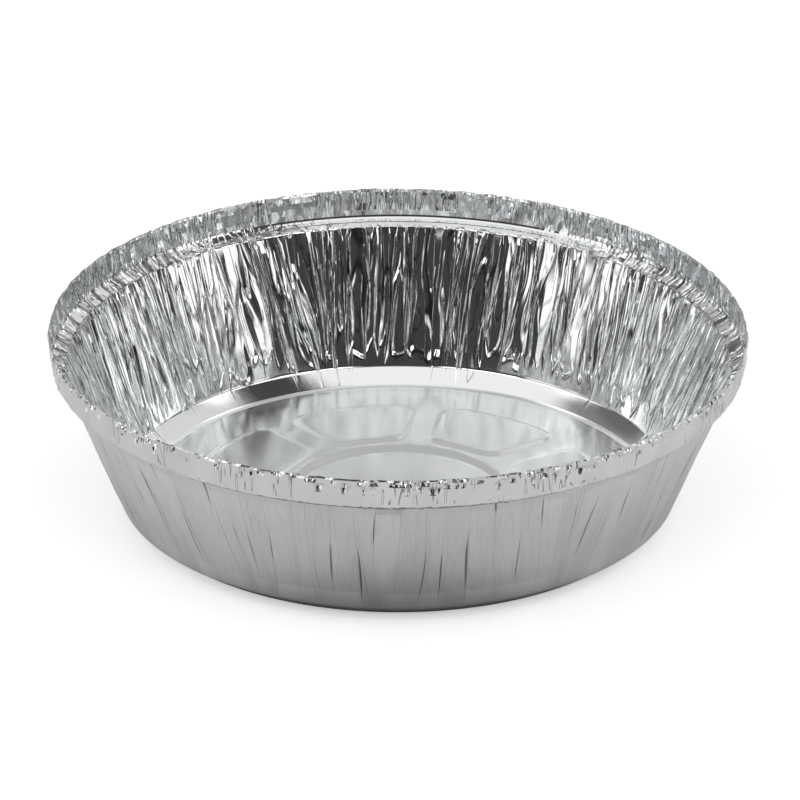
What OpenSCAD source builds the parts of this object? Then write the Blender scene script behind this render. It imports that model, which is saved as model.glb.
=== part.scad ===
// Round foil pie tin, all in one piece. One sheet of foil is drawn into a dish with
// an embossed floor, a chamfered foot, a sloping wall gathered into pleats, a narrow
// ledge for a board lid, and an upright crimped flange with a raw edge.
// Sizes are in millimetres. The tin stands on z = 0 and its axis is Z.

/* [Foil] */
// Thickness of the foil
foil_t = 0.08; // [0.05:0.01:0.2]

/* [Floor] */
// Radius of the flat floor, to the foot of the chamfer
floor_r = 68; // [62:1:90]
// Number of raised panels round the middle disc
panel_count = 8; // [6:1:10]
// Angle of the first spoke between two panels, from +X
first_spoke = -9; // [-45:1:45]
// Radius that the panels reach out to, where the floor starts to rise inwards
panel_reach = 57; // [50:1:60]
// Distance of a panel's straight inner edge from the middle
panel_start = 31.5; // [31:0.5:36]
// Height of a panel above the floor round it
panel_h = 0.7; // [0.3:0.1:1.5]
// Width of the slope that runs round a panel
panel_slope_w = 2.2; // [1:0.1:3]
// Radius of a panel's corners
panel_corner_r = 6; // [4:0.5:7]
// Width of the flat spoke between two panels
spoke_w = 5; // [3:0.5:7]
// Radius of the step round the middle disc
step_r = 30.5; // [24:0.5:31]
// Width of the step, seen from above
step_w = 3.5; // [1:0.5:6]
// Height of the step, which is how far the floor rises from its rim to the step
step_h = 0.7; // [0.3:0.1:1.5]

/* [Foot and wall] */
// Width of the chamfer at the foot of the wall, seen from above
foot_w = 5.7; // [3:0.1:8]
// Height of the chamfer
foot_h = 3.7; // [2:0.1:6]
// Drop of the chamfer's rounded lower edge below a straight slope
foot_round = 0.25; // [0:0.05:0.4]
// How far the wall flares out from the chamfer to the ledge
wall_flare = 14.2; // [8:0.1:20]
// Height of the wall from the chamfer to the ledge
wall_h = 35.7; // [20:0.1:60]

/* [Ledge and flange] */
// Width of the ledge, seen from above
ledge_w = 3.1; // [2:0.1:5]
// Rise of the ledge across its width
ledge_rise = 1.6; // [0.5:0.1:2]
// Height of the flange above the ledge
flange_h = 8; // [5:0.5:12]
// How far the flange flares out over its height
flange_flare = 1; // [0:0.1:3]
// Most that the mouth is out of round, which falls to nothing at the floor
oval = 0.5; // [0:0.1:1.5]
// Direction in which the mouth is longest, from +X
oval_angle = 135; // [0:5:175]

/* [Pleats and crimps] */
// Number of pleats in the wall
pleat_count = 90; // [60:2:92]
// Width of the widest pleat at the ledge, where it stands on the wall
pleat_w = 3; // [1.5:0.1:3]
// Height of the tallest pleat above the wall, on the inside
pleat_h = 1.1; // [0.4:0.1:1.4]
// Most that the pleats swing round the axis from the ledge to the foot, in degrees
pleat_swing = 3; // [0:0.5:3.5]
// Most that the crimps move the flange's edge in or out
crimp_depth = 0.35; // [0:0.05:0.5]
// Most that the raw edge stands above or below its mean height
edge_ragged = 0.2; // [0:0.05:0.4]

/* [Hidden] */

// The profile's corners, from the floor up
wall_foot_r = floor_r + foot_w;
wall_top_r = wall_foot_r + wall_flare;
wall_top_z = foot_h + wall_h;
ledge_r = wall_top_r + ledge_w;
ledge_z = wall_top_z + ledge_rise;
rim_r = ledge_r + flange_flare;
rim_z = ledge_z + flange_h;

// Rows of points down the flange, from its edge, as shares of its height
flange_cuts = [0, 0.45, 1];
// Rows of points down the wall, from the ledge, as shares of its height
wall_cuts = [0, 0.08, 0.35, 0.65, 1];
// Share of the chamfer's width where its lower edge is rounded
foot_cut = 0.78;
// Share of a pleat's height that is left where it meets the ledge
pleat_at_ledge = 0.2;
// The narrowest and the lowest pleat, as shares of the widest and the tallest
narrowest = 0.45;
lowest = 0.35;
// How far down the wall the shortest and the longest pleat reach, as shares of its
// height. A pleat that reaches past the wall ends on the chamfer.
shortest = 0.3;
longest = 1.3;
// Most that a pleat is off its even place at the ledge and at the foot, in pitches
stray_at_ledge = 0.2;
stray_at_foot = 0.1;
// Most that a crest is off the middle of its pleat, as a share of half its width
crest_lean = 0.5;
// Share of a pleat's width that is left past its end, where it lies flat
flat_width = 0.08;
// Shares of the crimps' depth for the rows of the flange
crimp_shares = [0.55, 1, 0.25];
// How far the columns of points at the flange's foot follow the pleats below them
flange_follow = 0.5;
// The two waves that the pleats swing in: share, number round the axis, start angle
swing_waves = [[0.6, 5, 0], [0.4, 11, 40]];

// What is drawn by lot, each with a number of its own, and the numbers that draw it
lot_at_ledge = 1;
lot_at_foot = 2;
lot_reach = 3;
lot_width = 4;
lot_height = 5;
lot_lean = 6;
lot_crimp = 10;
lot_ragged = 20;
lot_steps = [127.1, 311.7];
lot_spread = 43758.5453;

// Each pleat has a column of points along its crest and one along each side
columns = 3;
column_count = columns * pleat_count;
pleat_pitch = 360 / pleat_count;

// A panel's sector of the floor, and the points round its outline
sector = 360 / panel_count;
corner_steps = 4;
arc_steps = 5;
outer_steps = corner_steps + arc_steps;
inner_steps = corner_steps + 1;
outline_count = outer_steps + inner_steps + 2 * (corner_steps + 1);
floor_count = panel_count * outer_steps;
step_count = panel_count * inner_steps;

// A number from 0 to 1 that looks drawn by lot, but is always the same for one trait
// of one pleat or column
function lot(index, trait) =
    let (v = lot_spread * sin(lot_steps * [index, trait]))
    v - floor(v);

function mix(a, b, share) = a + (b - a) * share;

function turn(angle, p) = [
    p.x * cos(angle) - p.y * sin(angle),
    p.x * sin(angle) + p.y * cos(angle)
];

function unit(v) = v / norm(v);

// Radius and height along the middle line of the flange and the wall
function on_flange(share) = [rim_r - flange_flare * share, rim_z - flange_h * share];
function on_wall(share) = [wall_top_r - wall_flare * share, wall_top_z - wall_h * share];

// The whole profile from the raw edge to the floor, one entry for each row of points
profile = concat(
    [for (share = flange_cuts) on_flange(share)],
    [for (share = wall_cuts) on_wall(share)],
    [[wall_foot_r - foot_w * foot_cut, foot_h * (1 - foot_cut) - foot_round], [floor_r, 0]]
);
flange_rows = len(flange_cuts);
wall_rows = len(wall_cuts);
column_rows = flange_rows + wall_rows;

// The way from one side of the foil to the other at a corner between two flat parts
// that face `before` and `after`. It is long enough to keep their thickness.
function across(before, after) =
    let (m = unit(before + after))
    m / (m * before);

function facing_in(p, q) = unit([q.y - p.y, p.x - q.x]);

function row_across(row) =
    let (
        here = facing_in(profile[max(row - 1, 0)], profile[max(row, 1)]),
        next = row < len(profile) - 1 ? facing_in(profile[row], profile[row + 1]) : [0, 1]
    )
    across(row == 0 ? next : here, next);

// A number from -1 to 1
function sway(index, trait) = 2 * lot(index, trait) - 1;

function wave(w, angle) = w[0] * sin(w[1] * angle + w[2]);

// Pleats swing round the axis together, so that they fan out and close up
function swing(angle) =
    pleat_swing * (wave(swing_waves[0], angle) + wave(swing_waves[1], angle));

// Share of the wall's height that a pleat reaches down to
function reach(pleat) = mix(shortest, longest, lot(pleat, lot_reach));

// How much of a pleat is left at a share of the wall's height: it closes to a round
// tip at the end of its reach
function taper(pleat, share) = sqrt(max(0, 1 - share / reach(pleat)));

function pleat_angle(pleat, share) =
    let (
        at_ledge = pleat + stray_at_ledge * sway(pleat, lot_at_ledge),
        at_foot = pleat + stray_at_foot * sway(pleat, lot_at_foot)
    )
    first_spoke + pleat_pitch * mix(at_ledge, at_foot, share)
        + swing(pleat_pitch * pleat) * share;

// Half the angle that a pleat takes
function pleat_half(pleat, share) =
    let (w = pleat_w / 2 * mix(narrowest, 1, lot(pleat, lot_width)))
    w / wall_top_r * 180 / PI * max(flat_width, taper(pleat, share));

// Height of a crest above the wall
function crest_rise(pleat, share) =
    pleat_h * mix(lowest, 1, lot(pleat, lot_height)) * taper(pleat, share)
        * (share == 0 ? pleat_at_ledge : 1);

// Angle of a column on the wall: it follows one side of its pleat, or its crest
function wall_angle(column, share) =
    let (
        pleat = floor(column / columns),
        place = column % columns - 1,
        off = place == 0 ? crest_lean * sway(pleat, lot_lean) : place
    )
    pleat_angle(pleat, share) + off * pleat_half(pleat, share);

// Angle of a column on the flange, where the columns are spaced more evenly
function flange_angle(column, row) =
    let (even = first_spoke + 360 * (column - 1) / column_count)
    mix(even, wall_angle(column, 0), flange_follow * flange_cuts[row]);

// Where a column crosses a row: its angle, and how far it stands in from the profile
function flange_place(row, column) =
    [flange_angle(column, row), crimp_depth * crimp_shares[row] * sway(column, lot_crimp + row)];

function wall_place(row, column) =
    let (share = wall_cuts[row - flange_rows], on_crest = column % columns == 1)
    [
        wall_angle(column, share),
        on_crest ? crest_rise(floor(column / columns), share) : 0
    ];

function place(row, column) =
    let (
        turns = floor(column / column_count),
        c = column - turns * column_count,
        here = row < flange_rows ? flange_place(row, c) : wall_place(row, c)
    )
    here + [360 * turns, 0];

// How far the mouth is out of round at an angle and a height
function ovalness(angle, z) = oval * cos(2 * (angle - oval_angle)) * pow(z / rim_z, 2);

// The point of a row of the profile at one place
function profile_point(row, at) =
    let (p = profile[row] + row_across(row) * at.y, r = p.x + ovalness(at.x, p.y))
    [r * cos(at.x), r * sin(at.x), p.y];

// The way across the foil along a row, at a column: round the axis and inwards
function column_across(row, column) =
    let (
        before = place(row, column - 1),
        here = place(row, column),
        after = place(row, column + 1),
        per_degree = profile[row].x * PI / 180
    )
    across(
        unit([before.y - here.y, (here.x - before.x) * per_degree]),
        unit([here.y - after.y, (after.x - here.x) * per_degree])
    );

// A point of the flange or the wall, on the outer side of the foil for a lift of 0 and
// on the inner side for a lift of the foil's thickness
function column_point(row, column, lift) =
    let (
        way = column_across(row, column) * lift,
        at = place(row, column) + [way.x / profile[row].x * 180 / PI, way.y],
        ragged = row == 0 ? edge_ragged * sway(column, lot_ragged) : 0
    )
    profile_point(row, at) + [0, 0, ragged];

// A ring of evenly spaced points, from the middle of the first spoke
function ring(count, r, z) = [
    for (i = [0:count - 1])
    let (angle = first_spoke + 360 * i / count)
    [r * cos(angle), r * sin(angle), z]
];

// The ring on the chamfer has one point for each pleat, below its first side
function chamfer_ring(lift) = [
    for (i = [0:pleat_count - 1])
    profile_point(column_rows, [wall_angle(columns * i, 1), lift])
];

function floor_edge_ring(lift) =
    let (p = profile[column_rows + 1] + row_across(column_rows + 1) * lift)
    ring(floor_count, p.x, p.y);

// The floor rises evenly from the panels' outer edge to the step
function floor_z(r) =
    step_h * min(1, max(0, (panel_reach - r) / (panel_reach - step_r)));

// One half of a panel's outline in its sector, whose middle line is X: the outer
// corner and then the inner one, `inset` inside the foot of the panel's slope
function half_outline(inset) =
    let (
        half = sector / 2,
        corner = panel_corner_r - inset,
        along = [cos(half), sin(half)],
        inwards = [sin(half), -cos(half)],
        off = spoke_w / 2 + inset + corner,
        reach = panel_reach - inset - corner,
        outer = along * sqrt(reach * reach - off * off) + inwards * off,
        inner_along = (panel_start + inset + corner - off * sin(half)) / cos(half),
        inner = along * inner_along + inwards * off,
        outer_from = atan2(outer.y, outer.x)
    )
    concat(
        [
            for (i = [0:corner_steps])
            let (a = mix(outer_from, 90 + half, i / corner_steps))
            outer + corner * [cos(a), sin(a)]
        ],
        [
            for (i = [0:corner_steps])
            let (a = mix(90 + half, 180, i / corner_steps))
            inner + corner * [cos(a), sin(a)]
        ]
    );

// A panel's whole outline, from the middle of one outer corner, anticlockwise
function outline(inset) =
    let (
        half = half_outline(inset),
        count = len(half),
        mirrored = [for (i = [count - 1:-1:0]) [half[i].x, -half[i].y]],
        middle = count - 1 - corner_steps / 2,
        r = norm(half[0]),
        from = atan2(half[0].y, half[0].x)
    )
    concat(
        [for (i = [middle:count - 1]) mirrored[i]],
        [for (i = [1:arc_steps - 1]) r * turn(mix(-from, from, i / arc_steps), [1, 0])],
        half,
        [for (i = [0:middle - 1]) mirrored[i]]
    );

// Points down the middle of one spoke, level with the corners of the panels beside it
function spoke_points(index, lift) =
    let (
        half = half_outline(0),
        levels = concat(
            [for (i = [corner_steps / 2 + 1:corner_steps]) norm(half[i])],
            [for (i = [corner_steps + 1:corner_steps + corner_steps / 2]) norm(half[i])]
        )
    )
    [
        for (r = levels)
        let (p = turn(first_spoke + sector * index, [r, 0]))
        [p.x, p.y, floor_z(r) + lift]
    ];

function panel_points(index, lift) =
    let (
        angle = first_spoke + sector * (index + 0.5),
        middle_r = (panel_reach + panel_start) / 2
    )
    concat(
        [
            for (q = outline(0))
            let (p = turn(angle, q))
            [p.x, p.y, floor_z(norm(q)) + lift]
        ],
        [
            for (q = outline(panel_slope_w))
            let (p = turn(angle, q))
            [p.x, p.y, floor_z(norm(q)) + panel_h + lift]
        ],
        [[middle_r * cos(angle), middle_r * sin(angle), floor_z(middle_r) + panel_h + lift]]
    );

// All points of one side of the foil. The outer side has a lift of 0.
function side_points(lift) = concat(
    [for (row = [0:column_rows - 1], column = [0:column_count - 1])
        column_point(row, column, lift)],
    chamfer_ring(lift),
    floor_edge_ring(lift),
    ring(step_count, step_r, step_h + lift),
    ring(step_count, step_r - step_w, lift),
    [[0, 0, lift]],
    [for (i = [0:panel_count - 1]) each spoke_points(i, lift)],
    [for (i = [0:panel_count - 1]) each panel_points(i, lift)]
);

// Places of the rings, the spokes and the panels in the list of points
chamfer_at = column_rows * column_count;
floor_at = chamfer_at + pleat_count;
step_at = floor_at + floor_count;
disc_at = step_at + step_count;
middle_at = disc_at + step_count;
spokes_at = middle_at + 1;
panels_at = spokes_at + corner_steps * panel_count;
side_count = panels_at + (2 * outline_count + 1) * panel_count;

function span(first, count) = [for (i = [0:count - 1]) first + i];

// Triangles between a closed loop and the one inside it, clockwise seen from above
function lace(outer, inner) =
    let (n = len(outer), m = len(inner))
    concat(
        [
            for (i = [0:n - 1])
            let (j = floor(((2 * i + 1) * m + n) / (2 * n)))
            [outer[i], inner[j % m], outer[(i + 1) % n]]
        ],
        [
            for (j = [0:m - 1])
            let (i = ceil(((2 * j + 1) * n - m) / (2 * m)))
            [outer[i % n], inner[j], inner[(j + 1) % m]]
        ]
    );

function fan(loop, middle) = [
    for (i = [0:len(loop) - 1]) [loop[i], middle, loop[(i + 1) % len(loop)]]
];

// The loop of points round one sector of the floor, from its first outer corner
function sector_loop(index) =
    let (
        near = spokes_at + corner_steps * index,
        far = spokes_at + corner_steps * ((index + 1) % panel_count)
    )
    concat(
        [for (i = [0:outer_steps]) floor_at + (outer_steps * index + i) % floor_count],
        span(far, corner_steps),
        [for (i = [inner_steps:-1:0]) step_at + (inner_steps * index + i) % step_count],
        [for (i = [corner_steps - 1:-1:0]) near + i]
    );

function panel_faces(index) =
    let (
        foot = span(panels_at + (2 * outline_count + 1) * index, outline_count),
        top = span(foot[0] + outline_count, outline_count)
    )
    concat(
        lace(sector_loop(index), foot),
        lace(foot, top),
        fan(top, foot[0] + 2 * outline_count)
    );

// Triangles of the foil's inner side
side_faces = concat(
    [for (row = [0:column_rows - 2])
        each lace(span(row * column_count, column_count),
                  span((row + 1) * column_count, column_count))],
    lace(span((column_rows - 1) * column_count, column_count), span(chamfer_at, pleat_count)),
    lace(span(chamfer_at, pleat_count), span(floor_at, floor_count)),
    [for (i = [0:panel_count - 1]) each panel_faces(i)],
    lace(span(step_at, step_count), span(disc_at, step_count)),
    fan(span(disc_at, step_count), middle_at)
);

module tin()
    color("silver")
    polyhedron(
        points = concat(side_points(foil_t), side_points(0)),
        faces = concat(
            side_faces,
            [for (f = side_faces) [for (i = [2:-1:0]) f[i] + side_count]],
            lace(span(side_count, column_count), span(0, column_count))
        )
    );

tin();
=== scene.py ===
"""Foil pie tin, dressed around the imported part.

The tin is one sheet of foil, so it is one closed mesh. Its inner and its outer side
are two grids of points that follow the folds of the foil, joined at the raw edge.
Sizes are worked out in millimetres, like the part's own, and the mesh is in metres.
"""
import math

import bpy
import numpy as np
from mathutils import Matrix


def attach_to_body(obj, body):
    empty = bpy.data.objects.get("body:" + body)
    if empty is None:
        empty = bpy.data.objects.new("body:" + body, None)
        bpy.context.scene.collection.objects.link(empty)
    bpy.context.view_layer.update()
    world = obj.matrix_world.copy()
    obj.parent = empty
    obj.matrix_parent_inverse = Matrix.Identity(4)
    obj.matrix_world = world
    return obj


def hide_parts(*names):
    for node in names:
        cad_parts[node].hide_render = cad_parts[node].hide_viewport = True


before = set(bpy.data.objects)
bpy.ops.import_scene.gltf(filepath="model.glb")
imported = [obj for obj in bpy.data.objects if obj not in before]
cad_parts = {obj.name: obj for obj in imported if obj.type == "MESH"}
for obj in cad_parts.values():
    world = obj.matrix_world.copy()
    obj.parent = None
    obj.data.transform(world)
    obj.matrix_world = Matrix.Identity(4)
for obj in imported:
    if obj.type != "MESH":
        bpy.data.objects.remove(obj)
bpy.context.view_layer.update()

MM = 0.001

# Sizes of the part, in millimetres and degrees, as its source has them.
# The chamfer bends at FOOT_CUT of its width, FOOT_ROUND below its straight line.
FOIL = 0.08
FLOOR_R, FOOT_W, FOOT_H, FOOT_ROUND, FOOT_CUT = 68.0, 5.7, 3.7, 0.25, 0.78
WALL_FLARE, WALL_H = 14.2, 35.7
LEDGE_W, LEDGE_RISE, FLANGE_H, FLANGE_FLARE = 3.1, 1.6, 8.0, 1.0
OVAL, OVAL_ANGLE = 0.5, 135.0
PANELS, FIRST_SPOKE = 8, -9.0
PANEL_REACH, PANEL_START, PANEL_H = 57.0, 31.5, 0.7
PANEL_CORNER, SPOKE_W = 6.0, 5.0
STEP_R, STEP_W, STEP_H = 30.5, 3.5, 0.7
PLEATS, PLEAT_W, PLEAT_H, PLEAT_SWING = 90, 3.0, 1.1, 3.0
CRIMP_DEPTH, EDGE_RAGGED = 0.35, 0.2

WALL_TOP_R = FLOOR_R + FOOT_W + WALL_FLARE
WALL_FOOT_R = FLOOR_R + FOOT_W
WALL_TOP_Z = FOOT_H + WALL_H
LEDGE_R, LEDGE_Z = WALL_TOP_R + LEDGE_W, WALL_TOP_Z + LEDGE_RISE
RIM_R, RIM_Z = LEDGE_R + FLANGE_FLARE, LEDGE_Z + FLANGE_H
PITCH = 360 / PLEATS
CRIMPS = 3 * PLEATS

# The radius about halfway up the wall, and the degrees that a millimetre takes up there
MIDDLE_R = 80
DEGREES_A_MM = 180 / math.pi / MIDDLE_R


# --- numbers drawn by lot, the same on every run ---

def lot(index, trait):
    """A number from 0 to 1 for each index and trait, worked out as in the part's source.
    Traits up to 20 are the part's own."""
    v = 43758.5453 * np.sin(np.radians(127.1 * np.asarray(index, float) + 311.7 * trait))
    return v - np.floor(v)


def sway(index, trait):
    """The same from -1 to 1."""
    return 2 * lot(index, trait) - 1


def mix(a, b, share):
    return a + (b - a) * share


def smooth(x):
    x = np.clip(x, 0, 1)
    return x * x * (3 - 2 * x)


# --- the section of the foil ---

def unit(v):
    return v / np.hypot(*v)


def spin(a):
    return np.array([[math.cos(a), -math.sin(a)], [math.sin(a), math.cos(a)]])


def facing_in(p, q):
    """The way that the inner side faces on the straight run from p down to q."""
    return unit(np.array([q[1] - p[1], p[0] - q[0]]))


# Rows on each rounded corner
ROUND_ROWS = 3


def arc_rows(before, corner, after, radius):
    """Points and facings on the rounded corner between two straight runs."""
    d1, d2 = unit(corner - before), unit(after - corner)
    turn = math.acos(np.clip(d1 @ d2, -1, 1))
    side = np.sign(d1[0] * d2[1] - d1[1] * d2[0])
    first_facing = facing_in(before, corner)
    start = corner - d1 * radius * math.tan(turn / 2)
    centre = start + np.array([-d1[1], d1[0]]) * side * radius
    rows = []
    for i in range(ROUND_ROWS):
        a = side * turn * i / (ROUND_ROWS - 1)
        rows.append((centre + spin(a) @ (start - centre), spin(a) @ first_facing))
    return rows


# Radii of the section's corners: where the flange meets the ledge, inside and outside,
# then the top of the wall, its foot, the bend of the chamfer and the edge of the floor
LEDGE_ROUND, LEDGE_ROUND_OUTSIDE = 1.2, 0.5
OTHER_ROUNDS = (0.6, 1.2, 1.5, 0.5)
# Shares at the flange's foot and at the outer and the inner edge of the ledge
FLANGE_FOOT, LEDGE_OUTER, LEDGE_INNER = -0.5, -0.4, -0.1
# The two rows in the middle of the ledge: how far across it they lie, and their share
LEDGE_MIDDLE = ((0.44, -0.27), (0.56, -0.23))
# The last knot only gives the section its direction on the floor
LAST_KNOT_IN = 10


def section(flange_shares, wall_shares, flange_round=LEDGE_ROUND):
    """Rows of the section from the raw edge down to the floor: place, facing inwards and
    share. The share runs down the wall from 0 to 1 and on over the chamfer, and up the
    ledge and the flange from 0 to -1."""
    knots = [np.array(k) for k in (
        (RIM_R, RIM_Z), (LEDGE_R, LEDGE_Z), (WALL_TOP_R, WALL_TOP_Z), (WALL_FOOT_R, FOOT_H),
        (WALL_FOOT_R - FOOT_W * FOOT_CUT, FOOT_H * (1 - FOOT_CUT) - FOOT_ROUND),
        (FLOOR_R, 0.0), (FLOOR_R - LAST_KNOT_IN, 0.0))]
    rounds = (flange_round, *OTHER_ROUNDS)
    corners = [arc_rows(*knots[i:i + 3], radius) for i, radius in enumerate(rounds)]
    flange_in = facing_in(knots[0], knots[1])
    wall_in = facing_in(knots[2], knots[3])
    wall_length = np.hypot(*(knots[3] - knots[2]))
    rows = []
    for share in flange_shares:
        rows.append((mix(knots[0], corners[0][0][0], share), flange_in,
                     mix(-1, FLANGE_FOOT, share)))
    for i, (p, n) in enumerate(corners[0]):
        rows.append((p, n, mix(FLANGE_FOOT, LEDGE_OUTER, i / ROUND_ROWS)))
    high, low, ledge_in = corners[0][-1][0], corners[1][0][0], corners[0][-1][1]
    for across, share in LEDGE_MIDDLE:
        rows.append((mix(high, low, across), ledge_in, share))
    for i, (p, n) in enumerate(corners[1]):
        rows.append((p, n, LEDGE_INNER * (1 - i / (ROUND_ROWS - 1))))
    top, foot = corners[1][-1][0], corners[2][0][0]
    for share in wall_shares:
        rows.append((mix(top, foot, share), wall_in, share))
    for p, n in corners[2] + corners[3] + corners[4]:
        rows.append((p, n, 1 + np.hypot(*(p - foot)) / wall_length))
    return [np.array(column) for column in zip(*rows)]


# --- folds of the wall ---
# Each pitch has one pleat of the part and two lesser folds beside it.

LESSER = 2
pleat = np.arange(PLEATS)


def drawn(trait, low, high):
    """A number for each pitch, drawn between two limits."""
    return mix(low, high, lot(pleat, trait))



# How high a pleat's rim stands, as a share of its height in the part, and how far the
# valleys between folds stand in or out
TONGUE_SHARE, VALLEY_RISE = 0.75, 0.06
# How much of a fold's height is left where the wall meets the ledge
LEFT_AT_LEDGE = 0.2
# The share of the pleats that run on over the chamfer. The others fade above it.
LONG_PLEATS = 0.2


def swing(angle):
    """How many degrees the foot of a pleat lies to one side of its top."""
    a = np.radians(angle)
    return PLEAT_SWING * (0.6 * np.sin(5 * a) + 0.4 * np.sin(11 * a + math.radians(40)))


# Waves round the tin: how many, turns down the wall, start and reach in degrees
WARP_WAVES = ((13, 0.35, 0.2, 0.5), (29, -0.6, 2.6, 0.3), (61, 0.9, 4.4, 0.12))


def warp(angle, s):
    """Bends all folds together, so that they close up and open again."""
    on_wall = np.clip(s, 0, 1.1)
    a = np.radians(angle)
    return sum(reach * (np.sin(n * a + 2 * math.pi * (speed * on_wall + phase))
                        - np.sin(n * a + 2 * math.pi * phase))
               for n, speed, phase, reach in WARP_WAVES)


def restless(s, trait, slow=0.2, fast=0.9):
    """A number for each pitch that changes slowly down the wall."""
    turns = s[:, None] * drawn(trait, slow, fast) + lot(pleat, trait + 0.5)
    return np.sin(2 * math.pi * turns)


def fade_at_ends(s):
    """Folds are low where they meet the ledge and die out on the chamfer."""
    at_ledge = mix(LEFT_AT_LEDGE, 1.0, smooth(s / 0.06))
    above = np.clip(1 + s / 0.5, 0, 1)
    on_foot = 1 - smooth((s - 1.0) / 0.13)
    return np.where(s <= 0, LEFT_AT_LEDGE * above, at_ledge) * on_foot


def pleat_lines(s):
    """Middle, half width in degrees and height of the part's pleats at each share."""
    s = s[:, None]
    on_wall = np.clip(s, 0, 1)
    top, foot = pleat + 0.2 * sway(pleat, 1), pleat + 0.1 * sway(pleat, 2)
    middle = FIRST_SPOKE + PITCH * mix(top, foot, on_wall) + swing(PITCH * pleat) * on_wall
    taper = np.sqrt(np.clip(1 - np.maximum(s, 0) / drawn(3, 0.3, 1.3), 0, 1))
    w = PLEAT_W / 2 * drawn(4, 0.45, 1)
    half = w / WALL_TOP_R * 180 / math.pi * np.maximum(0.08, taper)
    runs_out = np.where(lot(pleat, 110) > 1 - LONG_PLEATS, 1.0, smooth((1.04 - s) / 0.3))
    height = PLEAT_H * drawn(5, 0.35, 1) * taper * fade_at_ends(s) * runs_out
    return middle, half, height


def lesser_lines(s, left, right, which):
    """The same for the lesser folds in the gap between two pleats. Some start on the
    ledge and some lower down."""
    s = s[:, None]
    key = 30 + 10 * which
    kind = lot(pleat, key)
    start = np.where(kind < 0.45, -0.3, drawn(key + 1, 0.08, 0.5))
    end = np.where(kind < 0.25, drawn(key + 2, 0.3, 0.6), drawn(key + 2, 0.65, 0.95))
    along = (s - start) / np.maximum(end - start, 0.15)
    taper = np.sqrt(np.clip(4 * along * (1 - along), 0, 1))
    taper = np.where((start < 0) & (along < 0.5), 1.0, taper) * (along > 0) * (along < 1)
    gap = right - left
    wander = np.sin(2 * math.pi * (s * drawn(key + 3, 0.5, 1.5) + lot(pleat, key + 4)))
    at = (which + 0.5) / LESSER + 0.12 * sway(pleat, key + 5) + 0.07 * wander
    middle = left + gap * at
    widest = drawn(key + 6, 0.25, 0.65) * DEGREES_A_MM
    half = np.minimum(widest, 0.32 * gap / LESSER) * np.maximum(0.08, taper)
    bold = drawn(key + 7, 0.25, 0.75) * (lot(pleat, key + 8) > 0.4)
    height = bold * taper * fade_at_ends(s) * smooth((1.0 - s) / 0.35)
    return middle, half, height


def all_folds(s):
    """Middles, half widths and heights, as rows by pitches by folds in a pitch."""
    middle, half, height = pleat_lines(s)
    left = middle + half
    right = np.roll(middle - half, -1, axis=1)
    right[:, -1] += 360
    folds = [(middle, half, height)]
    folds += [lesser_lines(s, left, right, k) for k in range(LESSER)]
    return [np.stack([f[i] for f in folds], -1) for i in range(3)]


# Waves round the tin: how many, turns down the wall, start and depth in mm
SWELL_WAVES = ((31, 0.7, 0.4, 0.07), (53, -0.9, 1.9, 0.05), (83, 0.5, 4.1, 0.035))


def swell(angle, s):
    """Broad, shallow bulges that the drawn wall keeps."""
    a = np.radians(angle)
    total = sum(depth * np.sin(n * a + 2 * math.pi * turns * s + phase)
                for n, turns, phase, depth in SWELL_WAVES)
    return total * np.clip(s / 0.1, 0, 1) * smooth((1.02 - s) / 0.3)


def follow(middle, half, offsets):
    """Angles of the columns of one fold, at the offsets from its middle."""
    return middle[..., None] + half[..., None] * offsets


def join_columns(groups, s):
    """Columns in order round the axis, with one in each valley between two folds."""
    angles, lifts, sharp = [], [], []
    for k, (a, h, crease) in enumerate(groups):
        nxt = groups[(k + 1) % len(groups)][0][..., 0]
        if k == len(groups) - 1:
            nxt = np.roll(nxt, -1, axis=1)
            nxt[:, -1] += 360
        angles.append(np.concatenate([a, ((a[..., -1] + nxt) / 2)[..., None]], -1))
        mound = VALLEY_RISE * restless(s, 60 + k) * np.clip(s / 0.05, 0, 1)[:, None]
        mound = mound * smooth((1.0 - s) / 0.25)[:, None]
        lifts.append(np.concatenate([h, mound[..., None]], -1))
        sharp += list(crease) + [True]
    angle = np.concatenate(angles, -1)
    lift = np.concatenate(lifts, -1)
    rows = angle.shape[0]
    angle = angle.reshape(rows, -1)
    return angle + warp(angle, s[:, None]), lift.reshape(rows, -1), np.tile(sharp, PLEATS)


def inner_columns(s):
    """The pleats of the part are tongues with a raised rim on either side and a sunk
    middle. The lesser folds are narrow ridges."""
    middle, half, height = all_folds(s)
    wide = half * WALL_TOP_R * math.pi / 180
    rise = TONGUE_SHARE * (0.85 + 0.25 * restless(s, 83)) * height[..., 0]
    rims = []
    for trait in (71, 72):
        steep = drawn(trait, 0.8, 1.7)
        rims.append(np.clip(rise / steep / wide[..., 0] + 0.04 * restless(s, trait + 6),
                            0.1, 0.38))
    a, b = rims
    tilt = 0.12 * restless(s, 74)
    sunk = drawn(75, 0.35, 0.8) + 0.12 * restless(s, 76)
    zero = np.zeros_like(a)
    offsets = np.stack([zero - 1, a - 1, 2 * a - 1, 1 - 2 * b, 1 - b, zero + 1], -1)
    shape = np.stack([zero, 1 + tilt, sunk + tilt, sunk - tilt, 1 - tilt, zero], -1)
    groups = [(follow(middle[..., 0], half[..., 0], offsets), rise[..., None] * shape,
               (True,) * 6)]
    for k in range(1, LESSER + 1):
        crest = 0.5 * restless(s, 90 + k)
        tall = wide[..., k] * drawn(94 + k, 0.8, 1.7) * (0.8 + 0.3 * restless(s, 96 + k))
        tall = tall * np.clip(height[..., k] * 8, 0, 1)
        groups.append((follow(middle[..., k], half[..., k],
                              np.stack([zero - 1, crest, zero + 1], -1)),
                       np.stack([zero, tall, zero], -1), (True, True, True)))
    return join_columns(groups, s)


# The share of the pleats that close to a slit outside, and how deep it is
WITH_SLIT, SLIT_DEPTH = 0.75, 0.55


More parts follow.
